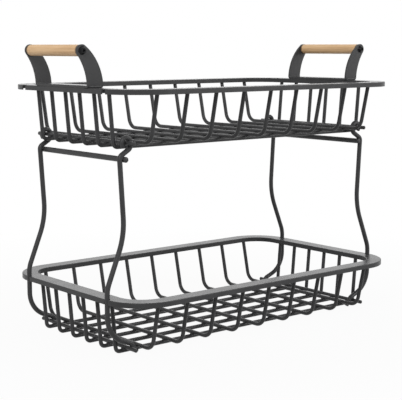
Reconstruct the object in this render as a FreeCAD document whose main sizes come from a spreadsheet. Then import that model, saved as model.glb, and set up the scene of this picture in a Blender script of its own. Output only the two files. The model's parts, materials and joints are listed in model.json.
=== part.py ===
"""Two-tier wire basket: two like baskets, two bent-wire side frames and two wooden-grip handles.

Millimetres. +X runs along the long side, +Z up. The origin is on the table under the middle.
"""
import FreeCAD, Part
import Sketcher
import math
import os

Vector = FreeCAD.Vector
Constraint = Sketcher.Constraint

doc = FreeCAD.newDocument("tiered_wire_basket")

# Driving sizes: name, value, what it measures
SIZES = (
    ("rim_length", 400, "rim, outside, along X"),
    ("rim_width", 248, "rim, outside, along Y"),
    ("rim_strip", 18, "width of the flat rim"),
    ("rim_depth", 5.4, "height of the rim's turned-down edges"),
    ("rim_sheet", 1.2, "sheet that the rim is pressed from"),
    ("rim_corner", 47, "outside corner radius of the rim"),
    ("rim_edge", 0.8, "rounding of the rim's top edges"),
    ("basket_depth", 62.5, "rim top to the underside of the long wires"),
    ("tier_rise", 216, "lower rim top to upper rim top"),
    ("wire", 4.4, "basket wire diameter"),
    ("wire_inset", 5, "rim's inner edge to the middle of a long wire's end"),
    ("cross_inset", 4.6, "rim's inner edge to the middle of a cross wire's end"),
    ("weld_gap", 0.1, "gap left for the weld where wires cross"),
    ("long_margin", 30.4, "outermost long wire to where the cross wires' floor ends"),
    ("long_lean", 5, "degrees that the long wires' ends lean"),
    ("long_bend", 5.2, "bend radius of the long wires"),
    ("cross_margin", 15.5, "outermost cross wire to the rod"),
    ("cross_lean", 12.5, "degrees that the cross wires' ends lean"),
    ("cross_bend", 13, "bend radius of the cross wires"),
    ("rod", 4.4, "diameter of the rod at each end of a floor"),
    ("rod_setback", 4.77, "start of the long wires' bend to the rod"),
    ("rod_overhang", 11.5, "rod past the side of the leg"),
    ("leg", 5.4, "leg wire diameter"),
    ("leg_side_gap", 4, "outermost long wire to the leg"),
    ("leg_proud", 1, "leg past the rim's outer edge"),
    ("notch_clearance", 0.4, "rim notch round the leg"),
    ("hook_clearance", 0.4, "hook and eye round their rods"),
    ("lower_bend", 30, "bend radius of the leg under the rim"),
    ("lower_bend_drop", 19.5, "rim top down to the start of that bend"),
    ("lip_reach", 10.4, "hook tip inward of the lower rod"),
    ("lip_drop", 4.9, "hook tip below the lower rod's axis"),
    ("step_bend", 30, "bend radius of the leg above the rim"),
    ("step_rise", 4, "rim top up to the start of that bend"),
    ("waist_in", 21.5, "leg's seat in the notch to its narrowest place, along X"),
    ("waist_rise", 78, "lower rim top to the legs' narrowest place"),
    ("waist_bend", 80, "bend radius at the narrowest place"),
    ("bar_thick", 6, "cross bar diameter"),
    ("bar_drop", 17, "upper rod's axis down to the cross bar's axis"),
    ("bar_set_out", 2.6, "cross bar outward of the upper rod"),
    ("bar_overhang", 0.5, "cross bar past the side of the leg"),
    ("neck_bend", 6, "bend radius where the leg turns up into its eye"),
    ("neck", 2.1, "straight neck below the eye"),
    ("eye_end_drop", 3.5, "eye's cut end below the upper rod's axis"),
    ("handle_span", 102, "outside to outside of a handle's arms"),
    ("handle_sheet", 2.5, "sheet of the handle bracket"),
    ("handle_overhang", 0.4, "handle bracket's edges past the rim's edges"),
    ("handle_bend", 0.5, "inside bend radius of the bracket"),
    ("grip_rise", 38.2, "rim top to the grip's axis"),
    ("grip_out", 7, "rim's outer edge to the grip's axis"),
    ("arm_tip", 6.3, "radius of an arm's round tip"),
    ("grip", 12, "grip diameter"),
    ("grip_chamfer", 0.6, "bevel of the grip's ends"),
    ("screw", 4, "screw shank diameter"),
    ("screw_length", 24, "screw under its head"),
    ("screw_clearance", 0.15, "holes round the screw"),
    ("head", 8.8, "screw head diameter"),
    ("head_top", 5.6, "diameter of the flat on top of the head"),
    ("head_height", 3, "screw head height"),
    ("socket", 2.5, "hexagon socket across the flats"),
    ("socket_depth", 1.4, "depth of the hexagon socket"),
    ("overrun", 2, "how far cuts run past the material"),
)

# Counts in one basket
LONG_WIRES = 6
CROSS_WIRES = 9

# Places worked out from the sizes: name, formula
PLACES = (
    ("rim_top", "sizes.basket_depth"),
    ("wire_seat", "rim_top - sizes.rim_sheet"),
    ("long_floor", "sizes.wire / 2"),
    ("cross_floor", "sizes.wire * 1.5 + sizes.weld_gap"),
    ("long_end", "sizes.rim_length / 2 - sizes.rim_strip + sizes.wire_inset"),
    ("cross_end", "sizes.rim_width / 2 - sizes.rim_strip + sizes.cross_inset"),
    ("long_foot", "long_end - (wire_seat - long_floor) * tan(sizes.long_lean * 1deg)"),
    ("rod_x", "long_foot - sizes.long_bend * tan((90 - sizes.long_lean) * 0.5deg) - sizes.rod_setback"),
    ("rod_z", "sizes.wire + sizes.weld_gap + sizes.rod / 2"),
    ("cross_foot", "cross_end - (wire_seat - cross_floor) * tan(sizes.cross_lean * 1deg)"),
    ("outer_long_y", "cross_foot - sizes.long_margin"),
    ("long_pitch", "2 * outer_long_y / %d" % (LONG_WIRES - 1)),
    ("cross_pitch", "2 * (rod_x - sizes.cross_margin) / %d" % (CROSS_WIRES - 1)),
    ("leg_y", "outer_long_y + sizes.wire / 2 + sizes.leg_side_gap + sizes.leg / 2"),
    ("leg_x", "sizes.rim_length / 2 + sizes.leg_proud - sizes.leg / 2"),
    ("hook", "sizes.rod / 2 + sizes.hook_clearance + sizes.leg / 2"),
    ("notch", "sizes.leg / 2 + sizes.notch_clearance"),
    ("leg_start", "rim_top - sizes.rim_depth / 2"),
    ("upper_rod_z", "rod_z + sizes.tier_rise"),
    ("bar_x", "rod_x + sizes.bar_set_out"),
    ("bar_z", "upper_rod_z - sizes.bar_drop"),
    ("shoulder", "sizes.leg / 2 + sizes.weld_gap + sizes.bar_thick / 2"),
    ("bracket_z", "rim_top + sizes.tier_rise"),
    ("arm_in", "sizes.rim_length / 2 - sizes.rim_strip - sizes.handle_overhang"),
    ("arm_out", "sizes.rim_length / 2 + sizes.handle_overhang"),
    ("grip_x", "sizes.rim_length / 2 + sizes.grip_out"),
    ("grip_z", "bracket_z + sizes.grip_rise"),
    ("grip_half", "sizes.handle_span / 2 - sizes.handle_sheet"),
)

sizes = doc.addObject("Spreadsheet::Sheet", "sizes")
for row, (name, value, note) in enumerate(SIZES, start=1):
    sizes.set("A%d" % row, name)
    sizes.set("B%d" % row, str(value))
    sizes.set("C%d" % row, note)
    sizes.setAlias("B%d" % row, name)

places = doc.addObject("Spreadsheet::Sheet", "places")
for row, (name, formula) in enumerate(PLACES, start=1):
    places.set("A%d" % row, name)
    places.set("B%d" % row, "=" + formula)
    places.setAlias("B%d" % row, name)
doc.recompute()


def size(name):
    return float(sizes.get(name))


def place(name):
    return float(places.get(name))


def new_body(label):
    body = doc.addObject("PartDesign::Body", label)
    body.Label = label
    return body


def plane(body, role):
    return next(feature for feature in body.Origin.OriginFeatures if feature.Role == role)


def new_sketch(body, role, offset="0"):
    """A sketch on one of the body's origin planes, moved along the plane's normal by a formula."""
    sketch = body.newObject("Sketcher::SketchObject", body.Name + "_sketch")
    sketch.AttachmentSupport = [(plane(body, role), "")]
    sketch.MapMode = "FlatFace"
    sketch.setExpression("AttachmentOffset.Base.z", offset)
    doc.recompute([sketch])
    return sketch


def bind(sketch, constraint, formula):
    """Adds a dimension and ties it to a formula of the sheets."""
    index = sketch.addConstraint(constraint)
    sketch.renameConstraint(index, "dim_%d" % index)
    sketch.setExpression("Constraints.dim_%d" % index, formula)


def bind_point(sketch, geometry, corner, x, y):
    """Ties a point to formulas for its two coordinates; x and y are (value, formula) pairs."""
    bind(sketch, Constraint("DistanceX", -1, 1, geometry, corner, x[0]), x[1])
    bind(sketch, Constraint("DistanceY", -1, 1, geometry, corner, y[0]), y[1])


def bind_circle(sketch, x, y, radius):
    """A full circle; each argument is a (value, formula) pair."""
    circle = Part.Circle(Vector(x[0], y[0], 0), Vector(0, 0, 1), radius[0])
    index = sketch.addGeometry(circle)
    bind_point(sketch, index, 3, x, y)
    bind(sketch, Constraint("Radius", index, radius[0]), radius[1])


def sheet_pair(name):
    return size(name), "sizes." + name


def place_pair(name):
    return place(name), "places." + name


def scaled(factor, pair):
    return factor * pair[0], "%g * (%s)" % (factor, pair[1])


def arc(centre, radius, start, end):
    """An arc from one angle to another in degrees, always turning to the left."""
    circle = Part.Circle(Vector(centre[0], centre[1], 0), Vector(0, 0, 1), radius)
    return Part.ArcOfCircle(circle, math.radians(start), math.radians(end))


def line(start, end):
    return Part.LineSegment(Vector(start[0], start[1], 0), Vector(end[0], end[1], 0))


def chain(sketch, pieces):
    """Draws lines and arcs joined end to end, each tangent to the next.

    pieces holds (geometry, first end, last end), where the ends are 1 or 2 as the sketch counts them.
    """
    first = sketch.GeometryCount
    for geometry, start, end in pieces:
        sketch.addGeometry(geometry)
    for step in range(len(pieces) - 1):
        end = pieces[step][2]
        start = pieces[step + 1][1]
        sketch.addConstraint(Constraint("Tangent", first + step, end, first + step + 1, start))
    return first


def sweep(body, path, profile):
    pipe = body.newObject("PartDesign::AdditivePipe", body.Name + "_sweep")
    pipe.Profile = profile
    pipe.Spine = (path, ["Edge%d" % (index + 1) for index in range(path.GeometryCount)])
    doc.recompute()
    return pipe


def pad(body, sketch, length, midplane=False, backwards=False):
    feature = body.newObject("PartDesign::Pad", body.Name + "_pad")
    feature.Profile = sketch
    feature.Midplane = midplane
    feature.Reversed = backwards
    feature.setExpression("Length", length)
    doc.recompute()
    return feature


def pocket(body, sketch, length, backwards=False):
    """Cuts a sketch to a depth, and makes sure that the cut took material away."""
    before = body.Shape.Volume
    feature = body.newObject("PartDesign::Pocket", body.Name + "_pocket")
    feature.Profile = sketch
    feature.Reversed = backwards
    feature.setExpression("Length", length)
    doc.recompute()
    if body.Shape.Volume >= before:
        raise RuntimeError("a cut in %s takes nothing away" % body.Label)
    return feature


def mirror(body, features, role):
    feature = body.newObject("PartDesign::Mirrored", body.Name + "_mirror")
    feature.Originals = features
    feature.MirrorPlane = (plane(body, role), [""])
    body.Tip = feature
    doc.recompute()
    return feature


def edge_names(shape, chosen):
    """Names of the edges for which chosen(edge) holds."""
    return ["Edge%d" % (index + 1) for index, edge in enumerate(shape.Edges) if chosen(edge)]


def fillet(body, base, names, radius):
    feature = body.newObject("PartDesign::Fillet", body.Name + "_fillet")
    feature.Base = (base, names)
    feature.setExpression("Radius", radius)
    doc.recompute()
    return feature


def rounded_rectangle(sketch, length, width, radius):
    """A rectangle with round corners about the middle; the arguments are (value, formula) pairs."""
    x = length[0] / 2
    y = width[0] / 2
    r = radius[0]
    first = chain(sketch, (
        (line((-x + r, -y), (x - r, -y)), 1, 2),
        (arc((x - r, -y + r), r, 270, 360), 1, 2),
        (line((x, -y + r), (x, y - r)), 1, 2),
        (arc((x - r, y - r), r, 0, 90), 1, 2),
        (line((x - r, y), (-x + r, y)), 1, 2),
        (arc((-x + r, y - r), r, 90, 180), 1, 2),
        (line((-x, y - r), (-x, -y + r)), 1, 2),
        (arc((-x + r, -y + r), r, 180, 270), 1, 2),
    ))
    sketch.addConstraint(Constraint("Tangent", first + 7, 2, first, 1))
    for step in (0, 4):
        sketch.addConstraint(Constraint("Horizontal", first + step))
    for step in (2, 6):
        sketch.addConstraint(Constraint("Vertical", first + step))
    for step in (3, 5, 7):
        sketch.addConstraint(Constraint("Equal", first + 1, first + step))
    bind(sketch, Constraint("Radius", first + 1, r), radius[1])
    bind(sketch, Constraint("DistanceX", -1, 1, first + 2, 1, x), "(%s) / 2" % length[1])
    bind(sketch, Constraint("DistanceX", first + 6, 1, -1, 1, x), "(%s) / 2" % length[1])
    bind(sketch, Constraint("DistanceY", -1, 1, first + 4, 1, y), "(%s) / 2" % width[1])
    bind(sketch, Constraint("DistanceY", first, 1, -1, 1, y), "(%s) / 2" % width[1])


def inset_rectangle(sketch, inset):
    """The rim's outline drawn in by an inset, a formula in the sizes with its value."""
    names = ("rim_length", "rim_width", "rim_corner")
    shares = (2, 2, 1)
    pairs = []
    for name, share in zip(names, shares):
        value = size(name) - share * inset[0]
        pairs.append((value, "sizes.%s - %g * (%s)" % (name, share, inset[1])))
    rounded_rectangle(sketch, *pairs)


def rim(label):
    """The flat rim, a pressed ring with turned-down edges and a notch for each leg."""
    body = new_body(label)
    ring = new_sketch(body, "XY_Plane", "places.rim_top - sizes.rim_depth")
    inset_rectangle(ring, (0, "0"))
    inset_rectangle(ring, sheet_pair("rim_strip"))
    solid = pad(body, ring, "sizes.rim_depth")
    top = place("rim_top")
    on_top = edge_names(solid.Shape, lambda edge: all(abs(v.Z - top) < 1e-6 for v in edge.Vertexes))
    fillet(body, solid, on_top, "sizes.rim_edge")
    hollow = new_sketch(body, "XY_Plane", "places.rim_top - sizes.rim_depth")
    inset_rectangle(hollow, sheet_pair("rim_sheet"))
    inner = size("rim_strip") - size("rim_sheet")
    inset_rectangle(hollow, (inner, "sizes.rim_strip - sizes.rim_sheet"))
    pocket(body, hollow, "sizes.rim_depth - sizes.rim_sheet", backwards=True)
    notches = new_sketch(body, "XY_Plane", "places.rim_top + sizes.overrun")
    for side in (-1, 1):
        for end in (-1, 1):
            notch_slot(notches, side, end)
    pocket(body, notches, "sizes.rim_depth + 2 * sizes.overrun")
    return body


def notch_slot(sketch, side, end):
    """A round-bottomed slot, open past the rim's short side, where a leg seats."""
    r = place("notch")
    y = end * place("leg_y")
    x = side * place("leg_x")
    mouth = side * (size("rim_length") / 2 + size("overrun"))
    if side > 0:
        bottom = (arc((x, y), r, 90, 270), 1, 2)
    else:
        bottom = (arc((x, y), r, 270, 450), 1, 2)
    lower = y - side * r
    upper = y + side * r
    first = chain(sketch, (
        (line((mouth, upper), (x, upper)), 1, 2),
        bottom,
        (line((x, lower), (mouth, lower)), 1, 2),
    ))
    closing = sketch.addGeometry(line((mouth, lower), (mouth, upper)))
    sketch.addConstraint(Constraint("Coincident", first + 2, 2, closing, 1))
    sketch.addConstraint(Constraint("Coincident", closing, 2, first, 1))
    for edge in (first, first + 2):
        sketch.addConstraint(Constraint("Horizontal", edge))
    sketch.addConstraint(Constraint("Vertical", closing))
    bind_point(sketch, first + 1, 3, scaled(side, place_pair("leg_x")), scaled(end, place_pair("leg_y")))
    bind(sketch, Constraint("Radius", first + 1, r), "places.notch")
    bind(sketch, Constraint("DistanceX", -1, 1, closing, 1, mouth),
         "%d * (sizes.rim_length / 2 + sizes.overrun)" % side)


def u_wire(label, across, shift, floor, end, lean, bend):
    """A basket wire: flat along the floor, bent up at both ends, cut level under the rim.

    across is True for a cross wire. shift places it along the other axis. One half is swept from the
    middle and mirrored.
    """
    body = new_body(label)
    along = "YZ_Plane" if across else "XZ_Plane"
    middle = "XZ_Plane" if across else "YZ_Plane"
    offset = "%s(%s)" % ("" if across else "-", shift[1])
    slope = math.radians(lean[0])
    seat = place("wire_seat")
    tip_y = seat + size("overrun")
    tip_x = end[0] + size("overrun") * math.tan(slope)
    foot = tip_x - (tip_y - floor[0]) * math.tan(slope)
    centre = (foot - bend[0] * math.tan((math.pi / 2 - slope) / 2), floor[0] + bend[0])
    turn = arc(centre, bend[0], 270, 360 - lean[0])
    path = new_sketch(body, along, offset)
    chain(path, (
        (line((0, floor[0]), (centre[0], floor[0])), 1, 2),
        (turn, 1, 2),
        (line(tuple(turn.EndPoint)[:2], (tip_x, tip_y)), 1, 2),
    ))
    path.addConstraint(Constraint("Horizontal", 0))
    bind_point(path, 0, 1, (0, "0"), floor)
    bind(path, Constraint("Radius", 1, bend[0]), bend[1])
    bind(path, Constraint("Angle", 2, math.pi / 2 - slope), "(90 - %s) * 1deg" % lean[1])
    rise = "%s + sizes.overrun * tan(%s * 1deg)" % (end[1], lean[1])
    bind_point(path, 2, 2, (tip_x, rise), (tip_y, "places.wire_seat + sizes.overrun"))
    profile = new_sketch(body, middle)
    bind_circle(profile, shift, floor, scaled(0.5, sheet_pair("wire")))
    half = sweep(body, path, profile)
    waste = new_sketch(body, "XY_Plane", "places.wire_seat")
    spot = (shift, end) if across else (end, shift)
    bind_circle(waste, spot[0], spot[1], sheet_pair("wire"))
    cut = pocket(body, waste, "2 * sizes.overrun", backwards=True)
    mirror(body, [half, cut], middle)
    return body


def rod(label, side):
    """A straight rod lying across the long wires at one end of a floor."""
    body = new_body(label)
    section = new_sketch(body, "XZ_Plane")
    bind_circle(section, scaled(side, place_pair("rod_x")), place_pair("rod_z"),
                scaled(0.5, sheet_pair("rod")))
    pad(body, section, "2 * (places.leg_y + sizes.leg / 2 + sizes.rod_overhang)", midplane=True)
    return body


def basket(tier):
    """The pieces of one basket, at the lower tier's height."""
    pieces = [rim(tier + "_rim")]
    for index in range(LONG_WIRES):
        shift = scaled(index - (LONG_WIRES - 1) / 2, place_pair("long_pitch"))
        pieces.append(u_wire("%s_long_wire_%d" % (tier, index + 1), False, shift, place_pair("long_floor"),
                             place_pair("long_end"), sheet_pair("long_lean"), sheet_pair("long_bend")))
    for index in range(CROSS_WIRES):
        shift = scaled(index - (CROSS_WIRES - 1) / 2, place_pair("cross_pitch"))
        pieces.append(u_wire("%s_cross_wire_%d" % (tier, index + 1), True, shift, place_pair("cross_floor"),
                             place_pair("cross_end"), sheet_pair("cross_lean"), sheet_pair("cross_bend")))
    pieces.append(rod(tier + "_left_rod", -1))
    pieces.append(rod(tier + "_right_rod", 1))
    return pieces


def tangent_from(point, centre, radius, side):
    """The angle, in degrees, at which a line from a point touches a circle; side picks which of the two."""
    dx = point[0] - centre[0]
    dy = point[1] - centre[1]
    spread = math.acos(radius / math.hypot(dx, dy))
    return math.degrees(math.atan2(dy, dx) + side * spread)


def on_circle(centre, radius, angle):
    turn = math.radians(angle)
    return centre[0] + radius * math.cos(turn), centre[1] + radius * math.sin(turn)


def common_normals(first, first_radius, second, second_radius):
    """The angles, in degrees, from the first circle to the two lines that cross between two circles."""
    dx = second[0] - first[0]
    dy = second[1] - first[1]
    spread = math.acos((first_radius + second_radius) / math.hypot(dx, dy))
    return math.degrees(math.atan2(dy, dx) - spread), math.degrees(math.atan2(dy, dx) + spread)


def leg_down(body, offset):
    """From the rim notch down, in under the rim, over the lower rod and into the hook's open lip."""
    x = place("leg_x")
    bend = size("lower_bend")
    bend_centre = (x - bend, place("rim_top") - size("lower_bend_drop"))
    rod_axis = (place("rod_x"), place("rod_z"))
    hook = place("hook")
    tip = (rod_axis[0] - size("lip_reach"), rod_axis[1] - size("lip_drop"))
    under = max(common_normals(rod_axis, hook, bend_centre, bend))
    lip = tangent_from(tip, rod_axis, hook, -1)
    path = new_sketch(body, "XZ_Plane", offset)
    first = chain(path, (
        (line((x, place("leg_start")), (x, bend_centre[1])), 1, 2),
        (arc(bend_centre, bend, under - 180, 0), 2, 1),
        (line(on_circle(bend_centre, bend, under - 180), on_circle(rod_axis, hook, under)), 1, 2),
        (arc(rod_axis, hook, under, lip), 1, 2),
        (line(on_circle(rod_axis, hook, lip), tip), 1, 2),
    ))
    path.addConstraint(Constraint("Vertical", first))
    bind_point(path, first, 1, place_pair("leg_x"), place_pair("leg_start"))
    bind(path, Constraint("Radius", first + 1, bend), "sizes.lower_bend")
    bind(path, Constraint("DistanceY", -1, 1, first + 1, 3, bend_centre[1]),
         "places.rim_top - sizes.lower_bend_drop")
    bind_point(path, first + 3, 3, place_pair("rod_x"), place_pair("rod_z"))
    bind(path, Constraint("Radius", first + 3, hook), "places.hook")
    bind_point(path, first + 4, 2, (tip[0], "places.rod_x - sizes.lip_reach"),
               (tip[1], "places.rod_z - sizes.lip_drop"))
    return path


def leg_up(body, offset):
    """From the rim notch up: a step inward, the waist, the shoulder round the cross bar, and the eye."""
    x = place("leg_x")
    step = size("step_bend")
    step_centre = (x - step, place("rim_top") + size("step_rise"))
    waist = size("waist_bend")
    waist_centre = (x - size("waist_in") + waist, place("rim_top") + size("waist_rise"))
    bar_axis = (place("bar_x"), place("bar_z"))
    shoulder = place("shoulder")
    rod_axis = (place("rod_x"), place("upper_rod_z"))
    eye = place("hook")
    neck_bend = size("neck_bend")
    neck_centre = (rod_axis[0] - eye + neck_bend, rod_axis[1] - size("neck"))
    incline = min(common_normals(step_centre, step, waist_centre, waist))
    upright = max(common_normals(waist_centre, waist, bar_axis, shoulder))
    slant = min(common_normals(bar_axis, shoulder, neck_centre, neck_bend))
    drop = math.degrees(math.asin(size("eye_end_drop") / eye))
    path = new_sketch(body, "XZ_Plane", offset)
    first = chain(path, (
        (line((x, place("leg_start")), (x, step_centre[1])), 1, 2),
        (arc(step_centre, step, 0, incline), 1, 2),
        (line(on_circle(step_centre, step, incline), on_circle(waist_centre, waist, incline + 180)), 1, 2),
        (arc(waist_centre, waist, upright, incline + 180), 2, 1),
        (line(on_circle(waist_centre, waist, upright), on_circle(bar_axis, shoulder, upright - 180)), 1, 2),
        (arc(bar_axis, shoulder, upright - 180, slant), 1, 2),
        (line(on_circle(bar_axis, shoulder, slant), on_circle(neck_centre, neck_bend, slant + 180)), 1, 2),
        (arc(neck_centre, neck_bend, 180, slant + 180), 2, 1),
        (line((rod_axis[0] - eye, neck_centre[1]), (rod_axis[0] - eye, rod_axis[1])), 1, 2),
        (arc(rod_axis, eye, -drop, 180), 2, 1),
    ))
    path.addConstraint(Constraint("Vertical", first))
    path.addConstraint(Constraint("Vertical", first + 8))
    bind_point(path, first, 1, place_pair("leg_x"), place_pair("leg_start"))
    bind(path, Constraint("Radius", first + 1, step), "sizes.step_bend")
    bind(path, Constraint("DistanceY", -1, 1, first + 1, 3, step_centre[1]),
         "places.rim_top + sizes.step_rise")
    bind(path, Constraint("Radius", first + 3, waist), "sizes.waist_bend")
    bind_point(path, first + 3, 3, (waist_centre[0], "places.leg_x - sizes.waist_in + sizes.waist_bend"),
               (waist_centre[1], "places.rim_top + sizes.waist_rise"))
    bind_point(path, first + 5, 3, place_pair("bar_x"), place_pair("bar_z"))
    bind(path, Constraint("Radius", first + 5, shoulder), "places.shoulder")
    bind(path, Constraint("Radius", first + 7, neck_bend), "sizes.neck_bend")
    bind_point(path, first + 9, 3, place_pair("rod_x"), place_pair("upper_rod_z"))
    bind(path, Constraint("Radius", first + 9, eye), "places.hook")
    bind(path, Constraint("DistanceY", -1, 1, first + 8, 1, neck_centre[1]),
         "places.upper_rod_z - sizes.neck")
    bind(path, Constraint("DistanceY", -1, 1, first + 9, 1, rod_axis[1] - size("eye_end_drop")),
         "places.upper_rod_z - sizes.eye_end_drop")
    return path


def leg(label, end):
    """One leg of the right-hand frame; end is -1 at the front and 1 at the back."""
    body = new_body(label)
    offset = "%d * places.leg_y" % -end
    section = new_sketch(body, "XY_Plane", "places.leg_start")
    bind_circle(section, place_pair("leg_x"), scaled(end, place_pair("leg_y")),
                scaled(0.5, sheet_pair("leg")))
    sweep(body, leg_down(body, offset), section)
    sweep(body, leg_up(body, offset), section)
    return body


def cross_bar(label):
    """The bar that ties a frame's two legs, nested in their shoulders."""
    body = new_body(label)
    section = new_sketch(body, "XZ_Plane")
    bind_circle(section, place_pair("bar_x"), place_pair("bar_z"), scaled(0.5, sheet_pair("bar_thick")))
    pad(body, section, "2 * (places.leg_y + sizes.leg / 2 + sizes.bar_overhang)", midplane=True)
    return body


def handle_bracket(label):
    """The right-hand bracket: a strip on the rim with an arm bent up at each end that curves outward."""
    body = new_body(label)
    section = new_sketch(body, "YZ_Plane", "places.arm_in - sizes.overrun")
    bent_strip(section)
    half = pad(body, section, "places.grip_x + sizes.arm_tip - places.arm_in + 2 * sizes.overrun")
    mirror(body, [half], "XZ_Plane")
    waste = new_sketch(body, "XZ_Plane", "sizes.handle_span / 2 + sizes.overrun")
    arm_outline(waste)
    frame_round(waste)
    pocket(body, waste, "sizes.handle_span + 2 * sizes.overrun")
    holes = new_sketch(body, "XZ_Plane", "sizes.handle_span / 2 + sizes.overrun")
    bore = size("screw") / 2 + size("screw_clearance")
    bind_circle(holes, place_pair("grip_x"), place_pair("grip_z"),
                (bore, "sizes.screw / 2 + sizes.screw_clearance"))
    pocket(body, holes, "sizes.handle_span + 2 * sizes.overrun")
    return body


def bent_strip(sketch):
    """Half of the bracket's bent section, from the middle of the strip to the top of one arm."""
    floor = place("bracket_z")
    sheet = size("handle_sheet")
    outer = size("handle_bend") + sheet
    inner = size("handle_bend")
    y = size("handle_span") / 2
    top = place("grip_z") + size("arm_tip") + size("overrun")
    first = chain(sketch, (
        (line((0, floor), (y - outer, floor)), 1, 2),
        (arc((y - outer, floor + outer), outer, 270, 360), 1, 2),
        (line((y, floor + outer), (y, top)), 1, 2),
    ))
    second = chain(sketch, (
        (line((0, floor + sheet), (y - outer, floor + sheet)), 1, 2),
        (arc((y - outer, floor + outer), inner, 270, 360), 1, 2),
        (line((y - sheet, floor + outer), (y - sheet, top)), 1, 2),
    ))
    low = sketch.addGeometry(line((0, floor), (0, floor + sheet)))
    high = sketch.addGeometry(line((y, top), (y - sheet, top)))
    sketch.addConstraint(Constraint("Coincident", low, 1, first, 1))
    sketch.addConstraint(Constraint("Coincident", low, 2, second, 1))
    sketch.addConstraint(Constraint("Coincident", high, 1, first + 2, 2))
    sketch.addConstraint(Constraint("Coincident", high, 2, second + 2, 2))
    sketch.addConstraint(Constraint("Coincident", first + 1, 3, second + 1, 3))
    for flat in (first, second, high):
        sketch.addConstraint(Constraint("Horizontal", flat))
    for upright in (first + 2, second + 2, low):
        sketch.addConstraint(Constraint("Vertical", upright))
    bind_point(sketch, first, 1, (0, "0"), place_pair("bracket_z"))
    bind(sketch, Constraint("Radius", first + 1, outer), "sizes.handle_bend + sizes.handle_sheet")
    bind(sketch, Constraint("Radius", second + 1, inner), "sizes.handle_bend")
    bind_point(sketch, first + 2, 2, scaled(0.5, sheet_pair("handle_span")),
               (top, "places.grip_z + sizes.arm_tip + sizes.overrun"))


def frame_round(sketch):
    """A rectangle that runs past the bracket on every side."""
    corners = (
        (("places.arm_in - 2 * sizes.overrun"), ("places.bracket_z - sizes.overrun")),
        (("places.grip_x + sizes.arm_tip + 2 * sizes.overrun"),
         ("places.grip_z + sizes.arm_tip + 2 * sizes.overrun")),
    )
    x0 = place("arm_in") - 2 * size("overrun")
    z0 = place("bracket_z") - size("overrun")
    x1 = place("grip_x") + size("arm_tip") + 2 * size("overrun")
    z1 = place("grip_z") + size("arm_tip") + 2 * size("overrun")
    points = ((x0, z0), (x1, z0), (x1, z1), (x0, z1))
    first = sketch.GeometryCount
    for index in range(4):
        sketch.addGeometry(line(points[index], points[(index + 1) % 4]))
    for index in range(4):
        sketch.addConstraint(Constraint("Coincident", first + index, 2, first + (index + 1) % 4, 1))
        sketch.addConstraint(Constraint("Vertical" if index % 2 else "Horizontal", first + index))
    bind_point(sketch, first, 1, (x0, corners[0][0]), (z0, corners[0][1]))
    bind_point(sketch, first + 1, 2, (x1, corners[1][0]), (z1, corners[1][1]))


def arm_outline(sketch):
    """An arm's side: square across at the rim, curved outward, narrowing to a round tip at the grip."""
    floor = place("bracket_z")
    x0 = place("arm_in")
    x1 = place("arm_out")
    tip = (place("grip_x"), place("grip_z"))
    r = size("arm_tip")

    def back_radius(x, sign):
        dx = tip[0] - x
        dz = tip[1] - floor
        return (dx * dx + dz * dz - r * r) / (2 * (dx - sign * r))

    inner = back_radius(x0, 1)
    outer = back_radius(x1, -1)
    inner_centre = (x0 + inner, floor)
    outer_centre = (x1 + outer, floor)
    inner_end = math.degrees(math.atan2(tip[1] - floor, tip[0] - inner_centre[0]))
    outer_end = math.degrees(math.atan2(tip[1] - floor, tip[0] - outer_centre[0]))
    base = sketch.addGeometry(line((x0, floor), (x1, floor)))
    first = chain(sketch, (
        (arc(outer_centre, outer, outer_end, 180), 2, 1),
        (arc(tip, r, outer_end - 180, inner_end), 1, 2),
        (arc(inner_centre, inner, inner_end, 180), 1, 2),
    ))
    sketch.addConstraint(Constraint("Coincident", base, 2, first, 2))
    sketch.addConstraint(Constraint("Coincident", first + 2, 2, base, 1))
    sketch.addConstraint(Constraint("Horizontal", base))
    bind_point(sketch, base, 1, place_pair("arm_in"), place_pair("bracket_z"))
    bind(sketch, Constraint("DistanceX", -1, 1, base, 2, x1), "places.arm_out")
    bind(sketch, Constraint("DistanceY", -1, 1, first, 3, floor), "places.bracket_z")
    bind(sketch, Constraint("DistanceY", -1, 1, first + 2, 3, floor), "places.bracket_z")
    bind_point(sketch, first + 1, 3, place_pair("grip_x"), place_pair("grip_z"))
    bind(sketch, Constraint("Radius", first + 1, r), "sizes.arm_tip")


def grip(label):
    """The right-hand grip, a turned wooden dowel with a screw hole in each end."""
    body = new_body(label)
    section = new_sketch(body, "XZ_Plane")
    bind_circle(section, place_pair("grip_x"), place_pair("grip_z"), scaled(0.5, sheet_pair("grip")))
    dowel = pad(body, section, "2 * places.grip_half", midplane=True)
    bevel = body.newObject("PartDesign::Chamfer", label + "_bevel")
    bevel.Base = (dowel, edge_names(dowel.Shape, lambda edge: len(edge.Vertexes) == 1))
    bevel.setExpression("Size", "sizes.grip_chamfer")
    doc.recompute()
    hole = new_sketch(body, "XZ_Plane", "places.grip_half + sizes.overrun")
    bore = size("screw") / 2 + size("screw_clearance")
    bind_circle(hole, place_pair("grip_x"), place_pair("grip_z"),
                (bore, "sizes.screw / 2 + sizes.screw_clearance"))
    drilled = pocket(body, hole, "sizes.screw_length - sizes.handle_sheet + 2 * sizes.overrun")
    mirror(body, [drilled], "XZ_Plane")
    return body


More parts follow.
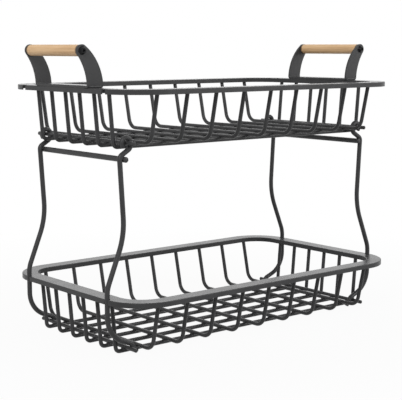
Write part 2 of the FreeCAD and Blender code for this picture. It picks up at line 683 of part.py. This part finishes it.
def screws(label):
    """The right-hand handle's two screws, with low heads and hexagon sockets."""
    pair = []
    for end in (-1, 1):
        name = "%s_%s" % (label, "front" if end < 0 else "back")
        turn = FreeCAD.Rotation(Vector(1, 0, 0), 90 * end)
        shank = doc.addObject("Part::Cylinder", name + "_shank")
        shank.setExpression("Radius", "sizes.screw / 2")
        shank.setExpression("Height", "sizes.screw_length")
        crown = doc.addObject("Part::Cone", name + "_crown")
        crown.setExpression("Radius1", "sizes.head / 2")
        crown.setExpression("Radius2", "sizes.head_top / 2")
        crown.setExpression("Height", "sizes.head_height")
        crown.Placement.Rotation = FreeCAD.Rotation(Vector(1, 0, 0), 180)
        socket = doc.addObject("Part::Prism", name + "_socket")
        socket.Polygon = 6
        socket.setExpression("Circumradius", "sizes.socket / sqrt(3)")
        socket.setExpression("Height", "sizes.head_height + sizes.overrun")
        socket.setExpression("Placement.Base.z",
                             "-2 * sizes.head_height - sizes.overrun + sizes.socket_depth")
        whole = doc.addObject("Part::Fuse", name + "_whole")
        whole.Base = shank
        whole.Tool = crown
        screw = doc.addObject("Part::Cut", name)
        screw.Base = whole
        screw.Tool = socket
        screw.Placement.Rotation = turn
        screw.setExpression("Placement.Base.x", "places.grip_x")
        screw.setExpression("Placement.Base.y", "%d * sizes.handle_span / 2" % end)
        screw.setExpression("Placement.Base.z", "places.grip_z")
        pair.append(screw)
    group = doc.addObject("Part::Compound", label)
    group.Links = pair
    group.Label = label
    return group


nodes = []
for piece in basket("lower"):
    nodes.append(piece)
for piece in basket("upper"):
    piece.setExpression("Placement.Base.z", "sizes.tier_rise")
    nodes.append(piece)

# The left-hand frame and handle are the right-hand ones turned half round, front leg for back leg
HALF_TURN = FreeCAD.Rotation(Vector(0, 0, 1), 180)
for hand in ("right", "left"):
    near = -1 if hand == "right" else 1
    pieces = [
        leg(hand + "_front_leg", near),
        leg(hand + "_back_leg", -near),
        cross_bar(hand + "_cross_bar"),
        handle_bracket(hand + "_handle_bracket"),
        grip(hand + "_grip"),
        screws(hand + "_handle_screws"),
    ]
    for piece in pieces:
        if hand == "left":
            piece.Placement.Rotation = HALF_TURN
        nodes.append(piece)
doc.recompute()

# Nothing is written until every object is sound
for item in doc.Objects:
    if "Invalid" in item.State or "Error" in item.State:
        raise RuntimeError("%s did not build: %s" % (item.Label, item.State))
for node in nodes:
    if node.Shape.isNull() or not node.Shape.isValid():
        raise RuntimeError("%s has no sound shape" % node.Label)

os.makedirs("parts", exist_ok=True)
for node in nodes:
    node.Shape.exportStep("parts/%s.step" % node.Label)
print("%d nodes, %.0f cubic mm" % (len(nodes), sum(node.Shape.Volume for node in nodes)))
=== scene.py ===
"""A two-tier wire basket in charcoal powder coat, with wooden grips, on a white table."""
import json
import math

import bmesh
import bpy
import numpy as np
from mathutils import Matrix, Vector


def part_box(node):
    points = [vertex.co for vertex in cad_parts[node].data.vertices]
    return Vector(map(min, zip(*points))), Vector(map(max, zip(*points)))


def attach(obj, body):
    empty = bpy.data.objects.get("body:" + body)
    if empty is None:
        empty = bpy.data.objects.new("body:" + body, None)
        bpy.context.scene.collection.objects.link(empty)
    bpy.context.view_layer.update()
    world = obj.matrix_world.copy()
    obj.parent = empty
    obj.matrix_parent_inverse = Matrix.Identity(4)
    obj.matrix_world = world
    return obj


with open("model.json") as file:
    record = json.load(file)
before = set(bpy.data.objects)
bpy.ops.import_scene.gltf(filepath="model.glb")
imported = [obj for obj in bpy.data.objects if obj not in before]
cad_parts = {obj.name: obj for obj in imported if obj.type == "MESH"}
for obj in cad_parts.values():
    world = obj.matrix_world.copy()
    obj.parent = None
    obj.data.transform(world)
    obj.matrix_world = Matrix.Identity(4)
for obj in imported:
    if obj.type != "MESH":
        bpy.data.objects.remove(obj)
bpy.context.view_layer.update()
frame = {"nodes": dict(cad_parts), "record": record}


# The baskets, frames and brackets: pressed sheet and bent wire, all mild steel, powder coated after
# welding. The coat is a satin charcoal with a fine grain, a slight orange peel and faint mottling.
class Signal:
    """One output of a material's nodes. Arithmetic on signals adds Math nodes to the material."""

    def __init__(self, tree, socket=None):
        self.tree = tree
        self.socket = socket

    def node(self, kind, settings, inputs, output=0):
        """Adds a node: its settings first, then the values or signals of its sockets."""
        made = self.tree.nodes.new(kind)
        for name, value in settings.items():
            if name == "stops":
                ramp = made.color_ramp.elements
                while len(ramp) < len(value):
                    ramp.new(0.5)
                for element, (place, colour) in zip(ramp, value):
                    element.position = place
                    element.color = (*colour, 1)
            else:
                setattr(made, name, value)
        for name, value in inputs.items():
            if isinstance(value, Signal):
                self.tree.links.new(value.socket, made.inputs[name])
            else:
                made.inputs[name].default_value = value
        return Signal(self.tree, made.outputs[output])

    def math(self, operation, first, second, clamp=False):
        """A Math node on two values or signals, kept between 0 and 1 if clamped."""
        settings = {"operation": operation, "use_clamp": clamp}
        return self.node("ShaderNodeMath", settings, {0: first, 1: second})

    def place(self):
        """Where a point lies on the object, in metres."""
        return self.node("ShaderNodeTexCoord", {}, {}, "Object")

    def noise(self, place, waves, detail):
        """Noise between 0 and 1, with so many waves to the metre."""
        inputs = {"Vector": place, "Scale": waves, "Detail": detail}
        return self.node("ShaderNodeTexNoise", {}, inputs, "Fac")

    def bump(self, height, strength, depth):
        """The surface's direction, tilted by a height between 0 and 1 that stands for a depth in metres."""
        return self.node("ShaderNodeBump", {}, {"Strength": strength, "Distance": depth, "Height": height})

    def blend(self, share, first, second):
        """One colour at share 0, and the other at share 1."""
        return self.node("ShaderNodeMix", {"data_type": "RGBA"}, {0: share, 6: first, 7: second}, 2)

    def feed(self, shader, name):
        """Links the signal to one of a shader's sockets."""
        self.tree.links.new(self.socket, shader.inputs[name])

    def __add__(self, other):
        return self.math("ADD", self, other)

    def __sub__(self, other):
        return self.math("SUBTRACT", self, other)

    def __rsub__(self, other):
        return self.math("SUBTRACT", other, self)

    def __mul__(self, other):
        return self.math("MULTIPLY", self, other)

    __radd__ = __add__
    __rmul__ = __mul__


def new_finish(name):
    """A material with only its surface shader, and a signal to hang its nodes on."""
    material = bpy.data.materials.new(name)
    material.use_nodes = True
    surface = material.node_tree.nodes["Principled BSDF"]
    return material, surface, Signal(material.node_tree)


def powder_coat(name, charcoal, satin, gloss):
    """Grain and mottling darken and lighten the colour by up to the contrast, and vary the roughness
    about the satin value; grain and orange peel together raise the bump."""
    material, surface, start = new_finish(name)
    surface.inputs["Specular IOR Level"].default_value = gloss
    place = start.place()
    grain = start.noise(place, waves=1900, detail=3)
    peel = start.noise(place, waves=420, detail=1)
    mottle = start.noise(place, waves=45, detail=2)
    tone = 0.45 * mottle + 0.55 * grain
    contrast = 0.45
    dark = tuple((1 - contrast) * part for part in charcoal)
    pale = tuple((1 + contrast) * part for part in charcoal)
    start.blend(tone, (*dark, 1), (*pale, 1)).feed(surface, "Base Color")
    (satin - 0.07 + 0.1 * mottle + 0.04 * grain).feed(surface, "Roughness")
    start.bump(0.5 * grain + 0.5 * peel, strength=0.5, depth=0.00006).feed(surface, "Normal")
    return material


def dress(node, material):
    """Gives a solid of the frame its material."""
    slots = frame["nodes"][node].data.materials
    slots.clear()
    slots.append(material)


coat = powder_coat("charcoal_powder_coat", charcoal=(0.042, 0.042, 0.04326), satin=0.34, gloss=0.18)
for body in ("lower_basket", "upper_basket", "left_frame", "right_frame"):
    for node in frame["record"]["behaviour"]["bodies"][body]:
        dress(node, coat)


# The welds in the floors: each cross wire and rod is resistance welded to every long wire it crosses.
# The squeezed-out steel is a small saddle, longer below along the long wire and above along the other.
def coated(name, points, body):
    """A coated mesh from an array of grids: copies, rows, columns and coordinates. Each row is a closed
    ring, and a grid's first and last rows are points, so each copy is a closed shell."""
    copies, rows, columns = points.shape[:3]
    corner = np.arange(copies * rows * columns).reshape(copies, rows, columns)
    beside = np.roll(corner, -1, axis=2)
    faces = np.stack((corner[:, :-1], beside[:, :-1], beside[:, 1:], corner[:, 1:]), axis=-1)
    mesh = bpy.data.meshes.new(name)
    mesh.from_pydata(points.reshape(-1, 3).tolist(), [], faces.reshape(-1, 4).tolist())
    shell = bmesh.new()
    shell.from_mesh(mesh)
    bmesh.ops.remove_doubles(shell, verts=shell.verts, dist=1e-6)
    bmesh.ops.recalc_face_normals(shell, faces=shell.faces)
    shell.to_mesh(mesh)
    shell.free()
    mesh.shade_smooth()
    mesh.materials.append(coat)
    piece = bpy.data.objects.new(name, mesh)
    bpy.context.scene.collection.objects.link(piece)
    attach(piece, body)


def middle(node, axis):
    """The middle of a solid along one axis."""
    low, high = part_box(node)
    return (low[axis] + high[axis]) / 2


LONG_WIRES = 6
CROSS_WIRES = 9
WIRE = 0.0022
WELD_GAP = 0.0001
RING = 12
turn = np.linspace(0, 2 * np.pi, RING, endpoint=False)
chance = np.random.default_rng(5)


def crossing_welds(tier):
    """The foot is an ellipse laid on the long wire's round top, the crown an ellipse, longer the other
    way, laid on the cross wire's round underside; the rings between them are drawn in by a sine."""
    along = [middle(tier + "_long_wire_%d" % (index + 1), 1) for index in range(LONG_WIRES)]
    across = [middle(tier + "_cross_wire_%d" % (index + 1), 0) for index in range(CROSS_WIRES)]
    across += [middle(tier + "_left_rod", 0), middle(tier + "_right_rod", 0)]
    x, y = (spot.reshape(-1, 1) for spot in np.meshgrid(across, along))
    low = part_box(tier + "_long_wire_1")[0][2] + WIRE
    high = low + 2 * WIRE + WELD_GAP
    spread = chance.uniform(0.9, 1.06, x.shape)
    reach = 0.0029
    girth = 0.002
    waist = 0.05
    foot = spread * reach * np.cos(turn), spread * girth * np.sin(turn)
    crown = spread * girth * np.cos(turn), spread * reach * np.sin(turn)
    foot_z = low + np.sqrt(WIRE ** 2 - foot[1] ** 2)
    crown_z = high - np.sqrt(WIRE ** 2 - crown[0] ** 2)
    rings = [np.stack(np.broadcast_arrays(x + 0 * turn, y, low), axis=-1)]
    for share in (0, 1 / 3, 2 / 3, 1):
        draw = 1 - waist * math.sin(math.pi * share)
        rings.append(np.stack((x + draw * (foot[0] + share * (crown[0] - foot[0])),
                               y + draw * (foot[1] + share * (crown[1] - foot[1])),
                               foot_z + share * (crown_z - foot_z)), axis=-1))
    rings.append(np.stack(np.broadcast_arrays(x + 0 * turn, y, high), axis=-1))
    return np.stack(rings, axis=1)


for tier in ("lower", "upper"):
    coated(tier + "_floor_welds", crossing_welds(tier), tier + "_basket")


# The welds under the rims: each wire's end stands against the pressed channel's underside and is welded
# all round, which leaves a concave collar from the wire to the sheet.
STRIP = 0.018
SHEET = 0.0012


def collar_welds(tier):
    """Rings about the leaning wire that widen towards the sheet by the square of their height."""
    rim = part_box(tier + "_rim")[1]
    long_inset = 0.005
    cross_inset = 0.0046
    long_end = rim[0] - STRIP + long_inset
    cross_end = rim[1] - STRIP + cross_inset
    long_lean = math.tan(math.radians(5))
    cross_lean = math.tan(math.radians(12.5))
    spots = [(side * long_end, middle(tier + "_long_wire_%d" % (index + 1), 1), side * long_lean, 0)
             for side in (-1, 1) for index in range(LONG_WIRES)]
    spots += [(middle(tier + "_cross_wire_%d" % (index + 1), 0), side * cross_end, 0, side * cross_lean)
              for side in (-1, 1) for index in range(CROSS_WIRES)]
    x, y, lean_x, lean_y = (column.reshape(-1, 1, 1) for column in np.array(spots).T)
    depth = 0.0024
    flare = 0.0012
    hug = 1.01
    down = np.array((1, 1, 0.6, 0.3, 0, -0.1)).reshape(1, -1, 1)
    is_ring = np.array((0, 1, 1, 1, 1, 0)).reshape(1, -1, 1)
    wide = is_ring * (WIRE * hug + flare * (1 - down) ** 2)
    drop = depth * chance.uniform(0.92, 1.08, x.shape) * down
    return np.stack(np.broadcast_arrays(x - lean_x * drop + wide * np.cos(turn),
                                        y - lean_y * drop + wide * np.sin(turn),
                                        rim[2] - SHEET - drop), axis=-1)


for tier in ("lower", "upper"):
    coated(tier + "_rim_welds", collar_welds(tier), tier + "_basket")


# The side frames' welds: the cross bar is nested in each leg's shoulder and welded along both sides of
# the touch, in two short runs with the ripple of a hand-laid bead.
HANDS = (("left", -1), ("right", 1))
BAR = 0.003
LEG = 0.0027
STEPS = 21


def bead(path, across, up, thick):
    """A round bead along paths: its radius swells from nothing and back by an eighth-power curve, and
    ripples a little; across and up are the two directions of its section."""
    run = np.linspace(-1, 1, STEPS)
    ripple = 1 + 0.06 * np.cos(9 * np.pi * run)
    swell = np.sqrt(np.clip(1 - run ** 8, 0, 1)) * ripple
    ring = (thick * swell)[:, None, None] * (np.cos(turn)[:, None] * across[..., None, :]
                                             + np.sin(turn)[:, None] * up[..., None, :])
    return path[..., None, :] + ring


def shoulder_welds(hand, side):
    """Arcs about the bar's axis, on each side of each leg, over the angle that the leg wraps."""
    wrap_start, wrap_end = -3, 58
    offset = 0.00175
    proud = 0.00037
    thick = 0.00062
    angle = np.radians(np.linspace(wrap_start, wrap_end, STEPS))
    bar_x, bar_z = middle(hand + "_cross_bar", 0), middle(hand + "_cross_bar", 2)
    out = np.stack((side * np.cos(angle), 0 * angle, np.sin(angle)), axis=-1)
    sideways = np.broadcast_to((0.0, 1.0, 0.0), out.shape)
    runs = []
    for end in ("front", "back"):
        for way in (-1, 1):
            foot = np.array((bar_x, middle(hand + "_" + end + "_leg", 1) + way * offset, bar_z))
            runs.append(bead(foot + (BAR + proud) * out, out, sideways, thick))
    return np.stack(runs)


for hand, side in HANDS:
    coated(hand + "_shoulder_welds", shoulder_welds(hand, side), hand + "_frame")


# The cut ends of the rods, bars, hooks and eyes: sheared wire, tumbled before coating, so that each end
# is a low dome under the coat.
DOME_RING = 32
DOME_RISE = 0.3


def domes(ends):
    """A dome on each end: rings about the wire's direction, with radius and height from a quarter turn's
    cosine and sine. An end is its middle, its direction and its radius."""
    spot, way, radius = (np.array(column, float) for column in zip(*ends))
    way /= np.linalg.norm(way, axis=1, keepdims=True)
    lies_along_y = np.abs(way[:, 1:2]) >= 0.5
    level = np.where(lies_along_y, (1.0, 0.0, 0.0), (0.0, 1.0, 0.0))
    other = np.cross(way, level)
    rise = np.radians((0, 0, 25, 50, 72, 90))
    wide = np.cos(rise) * (0, 1, 1, 1, 1, 1)
    high = DOME_RISE * np.sin(rise)
    fine = np.linspace(0, 2 * np.pi, DOME_RING, endpoint=False)[:, None]
    ring = np.cos(fine) * level[:, None, None, :] + np.sin(fine) * other[:, None, None, :]
    reach = radius[:, None, None, None]
    return (spot[:, None, None, :] + reach * wide[None, :, None, None] * ring
            + reach * high[None, :, None, None] * way[:, None, None, :])


def straight_ends(node, radius):
    """Both ends of a straight piece that lies along Y."""
    low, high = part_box(node)
    x, z = middle(node, 0), middle(node, 2)
    return [((x, low[1], z), (0, -1, 0), radius), ((x, high[1], z), (0, 1, 0), radius)]


def hook_ends(hand, side):
    """The tip of each leg's lip past the lower rod, and of its eye round the upper rod: how far each
    stands from the rod's middle, inward or outward and down, and which way it points."""
    lip_in, lip_down, lip_way = 0.0104, 0.0049, (-0.606 * side, 0, -0.795)
    eye_out, eye_down, eye_way = 0.00398, 0.0035, (-0.66 * side, 0, -0.751)
    lower_x, lower_z = middle("lower_" + hand + "_rod", 0), middle("lower_" + hand + "_rod", 2)
    upper_x, upper_z = middle("upper_" + hand + "_rod", 0), middle("upper_" + hand + "_rod", 2)
    ends = []
    for end in ("front", "back"):
        y = middle(hand + "_" + end + "_leg", 1)
        ends.append(((lower_x - side * lip_in, y, lower_z - lip_down), lip_way, LEG))
        ends.append(((upper_x + side * eye_out, y, upper_z - eye_down), eye_way, LEG))
    return ends


for tier in ("lower", "upper"):
    rods = straight_ends(tier + "_left_rod", WIRE) + straight_ends(tier + "_right_rod", WIRE)
    coated(tier + "_rod_ends", domes(rods), tier + "_basket")
for hand, side in HANDS:
    tips = straight_ends(hand + "_cross_bar", BAR) + hook_ends(hand, side)
    coated(hand + "_frame_ends", domes(tips), hand + "_frame")


# The handle brackets: a strip that lies on the rim, with an arm bent up at each end, all one sheet. A seam
# of weld closes the strip's two long edges to the rim, and a tall run fills the groove under each bend.
def seam_welds(hand, side):
    """Straight beads along Y in the groove between the strip's edge and the rim's rounded edge, and along
    X under each bend, where the bead is an upright oval."""
    low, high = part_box(hand + "_handle_bracket")
    rim_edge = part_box("upper_rim")[1][0]
    seam_inset, seam_down, seam_short, seam_thick = 0.0003, 0.00025, 0.004, 0.00045
    foot_inset, foot_up, foot_over, foot_slim, foot_thick = 0.0007, 0.0013, 0.0002, 0.55, 0.0015
    level = np.ones(STEPS)
    up = np.broadcast_to((0.0, 0.0, 1.0), (STEPS, 3))
    along_x = np.broadcast_to((1.0, 0.0, 0.0), (STEPS, 3))
    along_y = np.broadcast_to((0.0, foot_slim, 0.0), (STEPS, 3))
    seams = []
    y = np.linspace(low[1] + seam_short, high[1] - seam_short, STEPS)
    for edge in (rim_edge - seam_inset, rim_edge - STRIP + seam_inset):
        path = np.stack((side * edge * level, y, (low[2] - seam_down) * level), axis=-1)
        seams.append(bead(path, along_x, up, seam_thick))
    x = side * np.linspace(rim_edge - STRIP - foot_over, rim_edge + foot_over, STEPS)
    for foot in (low[1] + foot_inset, high[1] - foot_inset):
        path = np.stack((x, foot * level, (low[2] + foot_up) * level), axis=-1)
        seams.append(bead(path, along_y, up, foot_thick))
    return np.stack(seams)


for hand, side in HANDS:
    coated(hand + "_bracket_seams", seam_welds(hand, side), "upper_basket")


# The grips: pale hardwood dowels, turned, sanded and thinly sealed, with the grain along them. Each is
# held between the arms by a blackened screw at each end. Its last millimetres carry painted shade, darkened
# where the arms meet it.
def grip_wood():
    """Long streaks of noise squeezed across the dowel, with short dark pores, and a band of painted shade at
    each end, where the arms meet it.
    """
    material, surface, start = new_finish("pale_grip_wood")
    place = start.place()
    along = start.node("ShaderNodeMapping", {}, {"Vector": place, "Scale": (1, 0.035, 1)})
    grain = 0.7 * start.noise(along, waves=420, detail=4) + 0.3 * start.noise(along, waves=1500, detail=2)
    pore, pale, sapwood = (0.49, 0.298, 0.148), (0.655, 0.421, 0.219), (0.765, 0.522, 0.293)
    stops = {"stops": ((0.30, pore), (0.47, pale), (0.68, sapwood))}
    bare = start.node("ShaderNodeValToRGB", stops, {"Fac": grain})
    # Painted shade: each end's last millimetres are darkened towards a dark brown, which stands for the shade
    # where the grip meets the arms.
    shade_start = 0.0458
    shade_steepness = 700
    painted_end_shade = (0.06, 0.034, 0.018, 1)
    y = start.node("ShaderNodeSeparateXYZ", {}, {"Vector": place}, "Y")
    end = start.math("MULTIPLY", start.math("ABSOLUTE", y, 0) - shade_start, shade_steepness, clamp=True)
    start.blend(0.8 * end, bare, painted_end_shade).feed(surface, "Base Color")
    (0.62 - 0.2 * grain).feed(surface, "Roughness")
    start.bump(grain, strength=0.3, depth=0.0001).feed(surface, "Normal")
    return material


wood = grip_wood()
black = powder_coat("blackened_screw_steel", charcoal=(0.003, 0.003, 0.004), satin=0.2, gloss=0.16)
for hand, side in HANDS:
    dress(hand + "_grip", wood)
    dress(hand + "_handle_screws", black)


# The table and the light: a white surface that runs out of sight, and soft light from all round. Both are
# white where the camera looks, and in what shiny and clear pieces show.
def looks(start):
    """1 for a ray that shows the background to the camera, straight or by way of gloss or glass."""
    straight, gloss, glass = (start.node("ShaderNodeLightPath", {}, {}, "Is %s Ray" % kind)
                              for kind in ("Camera", "Glossy", "Transmission"))
    return start.math("ADD", straight + gloss, glass, clamp=True)


def white_ground():
    """White to the camera, with a little of the real light left in near the basket, so that its shadow
    stays. What it throws back up at the basket is a mid grey's light."""
    material, surface, start = new_finish("white_ground")
    surface.inputs["Base Color"].default_value = (0.4, 0.4, 0.4, 1)
    surface.inputs["Roughness"].default_value = 0.9
    near = 0.2
    fade = 2.2
    whiteness = 0.95
    far = start.node("ShaderNodeVectorMath", {"operation": "LENGTH"}, {0: start.place()}, "Value")
    clear = start.math("MULTIPLY", far - near, fade, clamp=True)
    share = (whiteness + (1 - whiteness) * clear) * looks(start)
    white = start.node("ShaderNodeEmission", {}, {"Color": (1, 1, 1, 1), "Strength": 1})
    lit = Signal(material.node_tree, surface.outputs[0])
    both = start.node("ShaderNodeMixShader", {}, {0: share, 1: lit, 2: white})
    both.feed(material.node_tree.nodes["Material Output"], "Surface")
    return material


half = 6.0
corners = [(-half, -half, 0), (half, -half, 0), (half, half, 0), (-half, half, 0)]
ground_mesh = bpy.data.meshes.new("ground")
ground_mesh.from_pydata(corners, [], [(0, 1, 2, 3)])
ground_mesh.materials.append(white_ground())
ground = bpy.data.objects.new("ground", ground_mesh)
bpy.context.scene.collection.objects.link(ground)

world = bpy.data.worlds.new("studio")
bpy.context.scene.world = world
world.use_nodes = True
sky = world.node_tree.nodes["Background"]
sky.inputs["Color"].default_value = (1, 1, 1, 1)
dim = 0.5
(dim + (1 - dim) * looks(Signal(world.node_tree))).feed(sky, "Strength")


def soft_box(name, place, width, power):
    """A square lamp that faces the middle of the basket."""
    lamp = bpy.data.lights.new(name, "AREA")
    lamp.size = width
    lamp.energy = power
    holder = bpy.data.objects.new(name, lamp)
    holder.location = place
    way = np.subtract((0, 0, 0.16), place)
    flat = math.hypot(way[0], way[1])
    holder.rotation_euler = (math.atan2(flat, -way[2]), 0, math.atan2(-way[0], way[1]))
    bpy.context.scene.collection.objects.link(holder)


soft_box("key", (-1.6, -1.1, 1.6), width=1.2, power=30)
soft_box("fill", (1.5, -1.7, 1.0), width=1.2, power=25)
soft_box("back", (1.5, 1.8, 1.1), width=1.4, power=6.5)

# The camera stands to the left of the front, at the height of the upper tier's handles, and looks a
# little down.
tilt, roll, pan = 90 - 7.96, 0.06, -39.66
lens = bpy.data.cameras.new("camera")
lens.sensor_width = 36
lens.lens = 99.3
camera = bpy.data.objects.new("camera", lens)
camera.location = (-0.8364, -0.9984, 0.3221)
camera.rotation_euler = (math.radians(tilt), math.radians(roll), math.radians(pan))
bpy.context.scene.collection.objects.link(camera)
bpy.context.scene.camera = camera
bpy.context.scene.view_settings.view_transform = "Standard"
